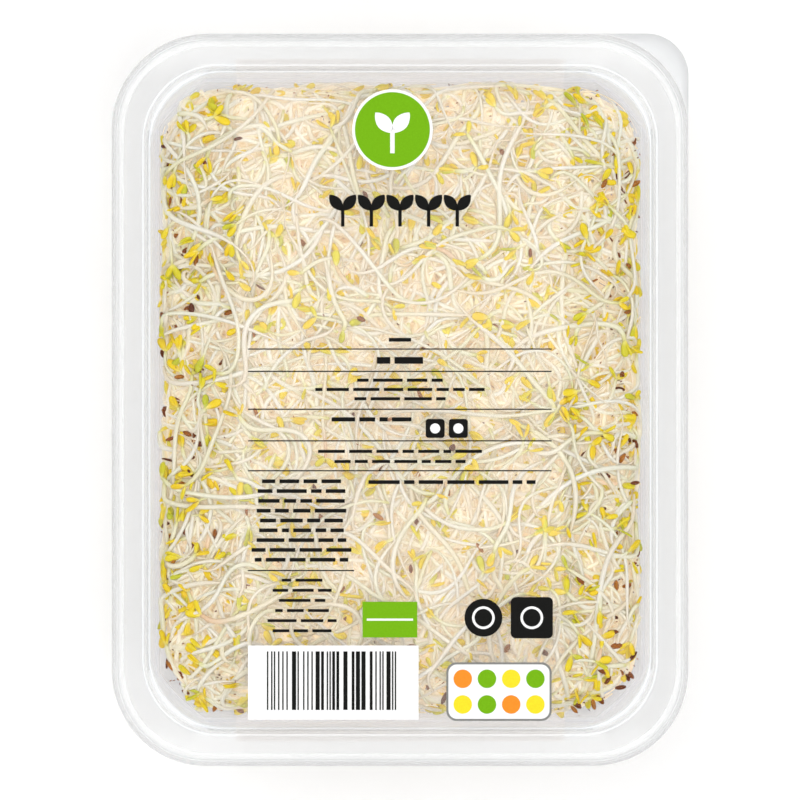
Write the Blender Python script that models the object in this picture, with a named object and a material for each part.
"""A sealed tray of alfalfa sprouts: a clear formed tray, the tangle of sprouts that fills it,
the lidding film with its peel corner, and a clear label stuck on the film.

The origin is on the table under the middle of the tray. +X runs across it, +Y along it
towards the peel corner's end, and +Z up.
"""

import math
import random

import bmesh
import bpy
from mathutils import Vector

MM = 0.001

# Driving dimensions
TRAY_WIDTH = 137.0 * MM
TRAY_LENGTH = 174.0 * MM
RIM_HEIGHT = 34.0 * MM
SHEET = 0.5 * MM
OUTER_RADIUS = 22.6 * MM
PEEL_RADIUS = 10.0 * MM
TOUCH_GAP = 0.3 * MM

# Tray section
FLANGE_INNER = 7.4 * MM
FLANGE_OUTER = 2.8 * MM
STEP_DEPTH = 1.1 * MM
WALL_TOP = 9.2 * MM
WALL_FOOT = 10.4 * MM
WALL_DRAFT = math.radians(2.5)
FLOOR_FILLET = 4.0 * MM
FILLET_STEPS = 5
FOOT_WIDTH = 4.6 * MM
PANEL_RISE = 1.5 * MM
LEDGE_DROP = 1.6 * MM
LIP_DROP = 3.4 * MM
FLOOR_CORNER = 11.0 * MM
FLOOR_CORNER_FLATNESS = 0.8
CORNER_STEPS = 8

# Film and label
FILM_THICKNESS = 0.2 * MM
LABEL_THICKNESS = 0.2 * MM
LABEL_WIDTH = 78.0 * MM
LABEL_LENGTH = 162.0 * MM

# Sprouts
SEED = 11
STEM_RADIUS = 0.55 * MM
STEM_SIDES = 3
STEM_STEPS = 5
LEAF_LENGTH = 4.0 * MM
LEAF_WIDTH = 2.0 * MM
LEAF_THICKNESS = 0.9 * MM
SEED_LENGTH = 2.8 * MM
SEED_WIDTH = 1.5 * MM
MASS_BOTTOM = 3.8 * MM
MASS_TOP = 23.5 * MM
MASS_SWELL = 2.0 * MM
MASS_LUMP = 1.6 * MM
LUMP_PITCH = 31.0 * MM
MASS_INSET = 13.8 * MM
MASS_SIDE_ROUNDING = 5.0 * MM
MASS_CORNER = 16.0 * MM
MASS_CORNER_STEPS = 3
HIGHEST_STEM = RIM_HEIGHT - 1.6 * MM
STEM_INSET = 14.8 * MM
STEM_CORNER = 13.0 * MM
ROOT_DEPTH = 1.2 * MM
TOP_STEMS = 92
SIDE_STEMS = 40
UNDER_STEMS = 10
STEM_KINDS = ("arch", "leaves", "arch", "leaves", "seed")

PALE_PLASTIC = (0.86, 0.87, 0.89)
CREAM = (0.86, 0.80, 0.62)


def clear_scene():
    for thing in list(bpy.data.objects):
        bpy.data.objects.remove(thing, do_unlink=True)


def plain_material(name, colour, roughness, alpha=1.0):
    material = bpy.data.materials.new(name)
    material.use_nodes = True
    shader = material.node_tree.nodes["Principled BSDF"]
    shader.inputs["Base Color"].default_value = (*colour, 1.0)
    shader.inputs["Roughness"].default_value = roughness
    shader.inputs["Alpha"].default_value = alpha
    return material


def object_from(name, mesh_builder, material):
    """Turns a bmesh into an object of the scene, with its faces pointing outwards."""
    bmesh.ops.recalc_face_normals(mesh_builder, faces=mesh_builder.faces)
    mesh = bpy.data.meshes.new(name)
    mesh_builder.to_mesh(mesh)
    mesh_builder.free()
    mesh.materials.append(material)
    made = bpy.data.objects.new(name, mesh)
    bpy.context.scene.collection.objects.link(made)
    return made


# The tray's plan: rounded rectangles, each inset from the outline


def ring(inset, radius, height, flatness=0.0, peel_radius=None, steps=CORNER_STEPS):
    """Points of a rounded rectangle, anticlockwise, the corner at +X +Y first.

    Flatness draws each corner's arc towards its chord, so that 1 is a plain 45-degree corner.
    The first corner may have a radius of its own.
    """
    points = []
    for corner, (side_x, side_y) in enumerate(((1, 1), (-1, 1), (-1, -1), (1, -1))):
        own = peel_radius if peel_radius is not None and corner == 0 else radius
        centre_x = side_x * (TRAY_WIDTH / 2 - inset - own)
        centre_y = side_y * (TRAY_LENGTH / 2 - inset - own)
        start = corner * math.pi / 2
        for step in range(steps + 1):
            share = step / steps
            angle = start + share * math.pi / 2
            arc = Vector((math.cos(angle), math.sin(angle)))
            first = Vector((math.cos(start), math.sin(start)))
            last = Vector((-math.sin(start), math.cos(start)))
            spoke = arc.lerp(first.lerp(last, share), flatness) * own
            points.append(Vector((centre_x + spoke.x, centre_y + spoke.y, height)))
    return points


def loft(rings):
    """A closed skin through rings of equal count, capped at the first and the last."""
    built = bmesh.new()
    rows = [[built.verts.new(point) for point in points] for points in rings]
    for low, high in zip(rows, rows[1:]):
        for here in range(len(low)):
            beyond = (here + 1) % len(low)
            built.faces.new((low[here], low[beyond], high[beyond], high[here]))
    built.faces.new(rows[0])
    built.faces.new(list(reversed(rows[-1])))
    return built


# Tray


def tray_profile():
    """The upper face of the formed sheet, from the floor panel out to the lip.

    Each entry is (inset, height, corner radius, corner flatness). The corners are flat below and
    round at the rim.
    """
    top = RIM_HEIGHT
    flat = FLOOR_CORNER_FLATNESS
    fillet_centre = WALL_FOOT + FLOOR_FILLET * math.cos(WALL_DRAFT)
    foot = fillet_centre + FOOT_WIDTH
    panel = SHEET + PANEL_RISE
    raised_panel = [
        (foot + 1.8 * MM, panel, FLOOR_CORNER - 3.0 * MM, flat),
        (foot + 1.4 * MM, panel - 0.1 * MM, FLOOR_CORNER - 2.8 * MM, flat),
        (foot, SHEET, FLOOR_CORNER - 2.2 * MM, flat),
    ]
    fillet = []
    for step in range(FILLET_STEPS + 1):
        share = step / FILLET_STEPS
        turn = math.pi / 2 + (WALL_DRAFT - math.pi / 2) * share
        inset = fillet_centre - FLOOR_FILLET * math.cos(turn)
        height = SHEET + FLOOR_FILLET * (1 - math.sin(turn))
        fillet.append((inset, height, FLOOR_CORNER - 1.5 * MM * (1 - share), flat))
    seal_step = [
        (WALL_TOP, top - STEP_DEPTH - 0.4 * MM, 16.8 * MM, 0.12),
        (WALL_TOP - 0.35 * MM, top - STEP_DEPTH, 17.2 * MM, 0.0),
        (WALL_TOP - 1.0 * MM, top - STEP_DEPTH + 0.15 * MM, 17.5 * MM, 0.0),
        (WALL_TOP - 1.2 * MM, top - STEP_DEPTH / 2, 17.6 * MM, 0.0),
        (FLANGE_INNER + 0.35 * MM, top - 0.12 * MM, 17.8 * MM, 0.0),
    ]
    flange = [
        (FLANGE_INNER, top, 18.0 * MM, 0.0),
        (FLANGE_OUTER, top, 20.6 * MM, 0.0),
    ]
    bead = [
        (FLANGE_OUTER - 0.7 * MM, top - 0.15 * MM, 21.0 * MM, 0.0),
        (FLANGE_OUTER - 1.2 * MM, top - 0.6 * MM, 21.3 * MM, 0.0),
        (FLANGE_OUTER - 1.45 * MM, top - 1.25 * MM, 21.5 * MM, 0.0),
    ]
    ledge_and_lip = [
        (FLANGE_OUTER - 1.8 * MM, top - LEDGE_DROP, 21.8 * MM, 0.0),
        (0.35 * MM, top - LEDGE_DROP, OUTER_RADIUS - 0.35 * MM, 0.0),
        (0.0, top - LEDGE_DROP - 0.6 * MM, OUTER_RADIUS, 0.0),
        (0.0, top - LIP_DROP, OUTER_RADIUS, 0.0),
    ]
    return raised_panel + fillet + seal_step + flange + bead + ledge_and_lip


def under_profile(section):
    """The section offset by the sheet's thickness, to its lower and outer side, from the lip inwards."""
    offset = []
    for here, (inset, height, radius, flatness) in enumerate(section):
        before = section[max(here - 1, 0)]
        after = section[min(here + 1, len(section) - 1)]
        normals = []
        for start, end in ((before, section[here]), (section[here], after)):
            run = Vector((end[0] - start[0], end[1] - start[1]))
            if run.length > 0:
                run.normalize()
                normals.append(Vector((-run.y, run.x)))
        if here == 0:
            normals = [Vector((0.0, -1.0))]
        mitre = sum(normals, Vector((0.0, 0.0)))
        mitre *= 1.0 / mitre.length
        reach = SHEET / max(mitre.dot(normals[0]), 0.5)
        shift = mitre * reach
        offset.append((inset + shift.x, height + shift.y, radius - shift.x, flatness))
    return list(reversed(offset))


def make_tray(material):
    upper = tray_profile()
    rings = []
    for inset, height, radius, flatness in upper + under_profile(upper):
        rings.append(ring(inset, radius, height, flatness))
    tray = object_from("tray", loft(rings), material)
    tray.data.shade_smooth()
    tray.data.set_sharp_from_angle(angle=math.radians(50))
    return tray


# Film and label


def make_film(material):
    bottom = RIM_HEIGHT + TOUCH_GAP
    sheet = loft(
        [
            ring(0.0, OUTER_RADIUS, bottom + FILM_THICKNESS, peel_radius=PEEL_RADIUS),
            ring(0.0, OUTER_RADIUS, bottom, peel_radius=PEEL_RADIUS),
        ]
    )
    return object_from("lidding_film", sheet, material)


def make_label(material):
    bottom = RIM_HEIGHT + TOUCH_GAP + FILM_THICKNESS + TOUCH_GAP
    built = bmesh.new()
    bmesh.ops.create_cube(built, size=1.0)
    size = Vector((LABEL_WIDTH, LABEL_LENGTH, LABEL_THICKNESS))
    bmesh.ops.scale(built, vec=size, verts=built.verts)
    centre = Vector((0.0, 0.0, bottom + LABEL_THICKNESS / 2))
    bmesh.ops.translate(built, vec=centre, verts=built.verts)
    return object_from("label", built, material)


# Sprouts: a lumpy mass, with stems and seed leaves standing out of it on every side


def mass_top(x, y):
    """Height of the mass's upper face: a low swell with two crossing waves."""
    wave = math.sin(x / LUMP_PITCH * 2 * math.pi) * math.cos(y / LUMP_PITCH * 2 * math.pi + 1.0)
    swell = math.cos(x / TRAY_WIDTH * math.pi) * math.cos(y / TRAY_LENGTH * math.pi)
    return MASS_TOP + MASS_LUMP * wave + MASS_SWELL * (swell - 0.5)


def mass_inset(height):
    """How far the mass's side stands in from the tray's outline: least half way up."""
    share = min(max((height - MASS_BOTTOM) / (MASS_TOP - MASS_BOTTOM), 0.0), 1.0)
    return MASS_INSET + MASS_SIDE_ROUNDING * abs(2 * share - 1) ** 3


def make_mass(material):
    """The mass: rings across its underside, up its side, and in over its waved top."""
    rings = []
    for inset, radius in ((46, 8), (30, 12), (21, 15)):
        rings.append(ring(inset * MM, radius * MM, MASS_BOTTOM, steps=MASS_CORNER_STEPS))
    for share in (0.08, 0.3, 0.6, 0.85):
        height = MASS_BOTTOM + share * (MASS_TOP - MASS_BOTTOM)
        rings.append(ring(mass_inset(height), MASS_CORNER, height, steps=MASS_CORNER_STEPS))
    for inset, radius in ((17.6, 16), (22, 15), (29, 13), (37, 12), (46, 10), (56, 8)):
        level = ring(inset * MM, radius * MM, 0.0, steps=MASS_CORNER_STEPS)
        for point in level:
            point.z = mass_top(point.x, point.y)
        rings.append(level)
    for point in rings[-6]:
        point.z -= ROOT_DEPTH
    return object_from("sprouts", loft(rings), material)


def tube(path, radii):
    """A stem: a slim prism of few sides along the path, closed at both ends."""
    built = bmesh.new()
    rows = []
    for here, point in enumerate(path):
        along = path[min(here + 1, len(path) - 1)] - path[max(here - 1, 0)]
        along.normalize()
        side = along.cross(Vector((0.13, 0.21, 0.97))).normalized()
        over = side.cross(along)
        row = []
        for corner in range(STEM_SIDES):
            angle = 2 * math.pi * corner / STEM_SIDES + math.pi / 2
            spoke = side * math.cos(angle) + over * math.sin(angle)
            row.append(built.verts.new(point + spoke * radii[here]))
        rows.append(row)
    for low, high in zip(rows, rows[1:]):
        for here in range(STEM_SIDES):
            beyond = (here + 1) % STEM_SIDES
            built.faces.new((low[here], low[beyond], high[beyond], high[here]))
    built.faces.new(rows[0])
    built.faces.new(list(reversed(rows[-1])))
    return built


def pointed_lens(base, along, flat, length, width, thickness):
    """A seed leaf or a seed coat: pointed at both ends and widest past its middle."""
    side = along.cross(flat).normalized()
    flat = side.cross(along).normalized()
    built = bmesh.new()
    heel = built.verts.new(base - along * 0.15 * length)
    tip = built.verts.new(base + along * 0.85 * length)
    middle = base + along * 0.45 * length
    belt = []
    for across, up in ((1, 0), (0, 1), (-1, 0), (0, -1)):
        shift = side * across * width / 2 + flat * up * thickness / 2
        belt.append(built.verts.new(middle + shift))
    for here in range(4):
        beyond = (here + 1) % 4
        built.faces.new((heel, belt[beyond], belt[here]))
        built.faces.new((belt[here], belt[beyond], tip))
    return built


def in_plan(x, y, inset, corner):
    """Whether a point is inside the tray's rounded outline, drawn in by the inset."""
    past_x = max(abs(x) - (TRAY_WIDTH / 2 - inset - corner), 0)
    past_y = max(abs(y) - (TRAY_LENGTH / 2 - inset - corner), 0)
    return math.hypot(past_x, past_y) < corner


def plan_curve(rng, number, inset, length):
    """A bent line in plan through the number-th place of an even spread, as (x, y) pairs."""
    middle_x = ((0.5 + number * 0.7549) % 1.0 - 0.5) * (TRAY_WIDTH - 2 * inset)
    middle_y = ((0.5 + number * 0.5698) % 1.0 - 0.5) * (TRAY_LENGTH - 2 * inset)
    while True:
        length *= 0.97
        turn = rng.choice((-1, 1)) * rng.uniform(0.4, 2.0) / length
        heading = rng.uniform(0, 2 * math.pi)
        points = []
        for way in (-1, 1):
            x, y, angle = middle_x, middle_y, heading
            arm = []
            for _ in range(STEM_STEPS):
                stride = way * length / 2 / STEM_STEPS
                x += math.cos(angle) * stride
                y += math.sin(angle) * stride
                angle += turn * stride
                arm.append((x, y))
            points = list(reversed(arm)) + [(middle_x, middle_y)] if way < 0 else points + arm
        if all(in_plan(x, y, inset, STEM_CORNER) for x, y in points) or length < 4 * MM:
            return points[::2]


def add_leaves(rng, parts, path):
    """A pair of seed leaves at the end of a stem, opened a little."""
    along = (path[-1] - path[-2]).normalized()
    up = Vector((0.0, 0.0, 1.0))
    side = along.cross(up).normalized()
    spread = rng.uniform(0.3, 0.6)
    for sign in (-1, 1):
        way = (along + side * sign * spread + up * rng.uniform(-0.1, 0.1)).normalized()
        face = up + side * sign * 0.3
        parts.append(pointed_lens(path[-1], way, face, LEAF_LENGTH, LEAF_WIDTH, LEAF_THICKNESS))


def add_seed_coat(rng, parts, path):
    """The spent seed coat that still clings to the end of a stem."""
    along = (path[-1] - path[-2]).normalized()
    face = Vector((rng.uniform(-0.4, 0.4), rng.uniform(-0.4, 0.4), 1.0))
    parts.append(pointed_lens(path[-1], along, face, SEED_LENGTH, SEED_WIDTH, SEED_WIDTH * 0.8))


def top_stem(rng, parts, number):
    """A stem on the upper face: an arch with both ends sunk in, or one with a free end.

    The free end carries a pair of seed leaves or a seed coat.
    """
    kind = STEM_KINDS[number % len(STEM_KINDS)]
    plan = plan_curve(rng, number, STEM_INSET, rng.uniform(24.0, 42.0) * MM)
    lift = rng.uniform(2.4, 6.6) * MM
    last = len(plan) - 1
    path = []
    for here, (x, y) in enumerate(plan):
        arch = math.sin(math.pi * here / last * (1.0 if kind == "arch" else 0.74))
        edge_droop = 0.0 if in_plan(x, y, STEM_INSET + 4.7 * MM, STEM_CORNER) else 1.4 * MM
        height = mass_top(x, y) - ROOT_DEPTH - edge_droop + arch * lift
        path.append(Vector((x, y, min(height, HIGHEST_STEM))))
    swell = [0.75 + 0.3 * math.sin(math.pi * here / last) for here in range(last + 1)]
    parts.append(tube(path, [STEM_RADIUS * thickness for thickness in swell]))
    if kind == "leaves":
        add_leaves(rng, parts, path)
    if kind == "seed":
        add_seed_coat(rng, parts, path)


def perimeter_point(distance, inset, height):
    """The point a distance round the tray's rounded rectangle, from the middle of its +X side."""
    radius = MASS_CORNER
    straight_x = TRAY_WIDTH - 2 * inset - 2 * radius
    straight_y = TRAY_LENGTH - 2 * inset - 2 * radius
    arc = math.pi / 2 * radius
    distance = (distance + straight_y / 2) % (2 * (straight_x + straight_y) + 4 * arc)
    corner = Vector((TRAY_WIDTH / 2 - inset, -straight_y / 2))
    heading = math.pi / 2
    for straight in (straight_y, straight_x, straight_y, straight_x):
        way = Vector((math.cos(heading), math.sin(heading)))
        inward = Vector((-way.y, way.x))
        if distance <= straight:
            found = corner + way * distance
            return Vector((found.x, found.y, height))
        distance -= straight
        centre = corner + way * straight + inward * radius
        if distance <= arc:
            angle = distance / radius
            found = centre + way * radius * math.sin(angle) - inward * radius * math.cos(angle)
            return Vector((found.x, found.y, height))
        distance -= arc
        corner = centre + way * radius
        heading += math.pi / 2
    return Vector((corner.x, corner.y, height))


def side_stem(rng, parts, distance):
    """A stem down the side of the mass, against the tray's wall, with both ends sunk in."""
    top = rng.uniform(15.0, 23.0) * MM
    bottom = rng.uniform(5.0, 11.0) * MM
    drift = rng.choice((-1, 1)) * rng.uniform(4.0, 24.0) * MM
    bulge = rng.uniform(0.9, 1.9) * MM
    path = []
    for here in range(STEM_STEPS + 1):
        share = here / STEM_STEPS
        height = top + (bottom - top) * share
        outwards = (ROOT_DEPTH + bulge) * math.sin(math.pi * share) ** 0.6
        inset = mass_inset(height) + ROOT_DEPTH - outwards
        path.append(perimeter_point(distance + drift * share, inset, height))
    parts.append(tube(path, [STEM_RADIUS] * len(path)))


def under_stem(rng, parts, number):
    """A stem flat against the lower face."""
    plan = plan_curve(rng, number, 25.0 * MM, rng.uniform(20.0, 34.0) * MM)
    path = []
    for here, (x, y) in enumerate(plan):
        sag = 1.6 * STEM_RADIUS * math.sin(math.pi * here / (len(plan) - 1))
        path.append(Vector((x, y, MASS_BOTTOM + STEM_RADIUS - sag)))
    parts.append(tube(path, [STEM_RADIUS] * len(path)))


def join_all(mass, parts):
    """Unites the stems and leaves with the mass, and keeps the one outer body."""
    gathered = bpy.data.collections.new("stems_and_leaves")
    bpy.context.scene.collection.children.link(gathered)
    for number, built in enumerate(parts):
        piece = object_from(f"stem_piece_{number}", built, mass.data.materials[0])
        bpy.context.scene.collection.objects.unlink(piece)
        gathered.objects.link(piece)
    union = mass.modifiers.new("join", "BOOLEAN")
    union.operation = "UNION"
    union.operand_type = "COLLECTION"
    union.collection = gathered
    union.solver = "MANIFOLD"
    graph = bpy.context.evaluated_depsgraph_get()
    joined = bpy.data.meshes.new_from_object(mass.evaluated_get(graph))
    mass.modifiers.clear()
    mass.data = joined
    for piece in list(gathered.objects):
        bpy.data.objects.remove(piece, do_unlink=True)
    bpy.data.collections.remove(gathered)
    keep_largest_body(joined)


def keep_largest_body(mesh):
    """Keeps the biggest connected skin, which drops loose scraps and fills sealed hollows."""
    built = bmesh.new()
    built.from_mesh(mesh)
    left = set(built.verts)
    skins = []
    while left:
        skin = {left.pop()}
        edge_of_search = list(skin)
        while edge_of_search:
            vert = edge_of_search.pop()
            for edge in vert.link_edges:
                other = edge.other_vert(vert)
                if other not in skin:
                    skin.add(other)
                    edge_of_search.append(other)
        left -= skin
        skins.append(skin)
    skins.sort(key=len)
    scraps = [vert for skin in skins[:-1] for vert in skin]
    bmesh.ops.delete(built, geom=scraps, context="VERTS")
    bmesh.ops.triangulate(built, faces=built.faces)
    built.to_mesh(mesh)
    built.free()


def make_sprouts(material):
    rng = random.Random(SEED)
    mass = make_mass(material)
    parts = []
    for number in range(TOP_STEMS):
        top_stem(rng, parts, number)
    round_trip = 2 * (TRAY_WIDTH + TRAY_LENGTH - 4 * MASS_INSET) - (8 - 2 * math.pi) * MASS_CORNER
    for number in range(SIDE_STEMS):
        side_stem(rng, parts, number * round_trip / SIDE_STEMS)
    for number in range(UNDER_STEMS):
        under_stem(rng, parts, number)
    join_all(mass, parts)
    return mass


def main():
    clear_scene()
    make_tray(plain_material("tray_plastic", PALE_PLASTIC, 0.25, 0.45))
    make_sprouts(plain_material("sprout_flesh", CREAM, 0.5))
    make_film(plain_material("film", PALE_PLASTIC, 0.1, 0.2))
    make_label(plain_material("label_film", (0.95, 0.93, 0.90), 0.4, 0.35))


main()
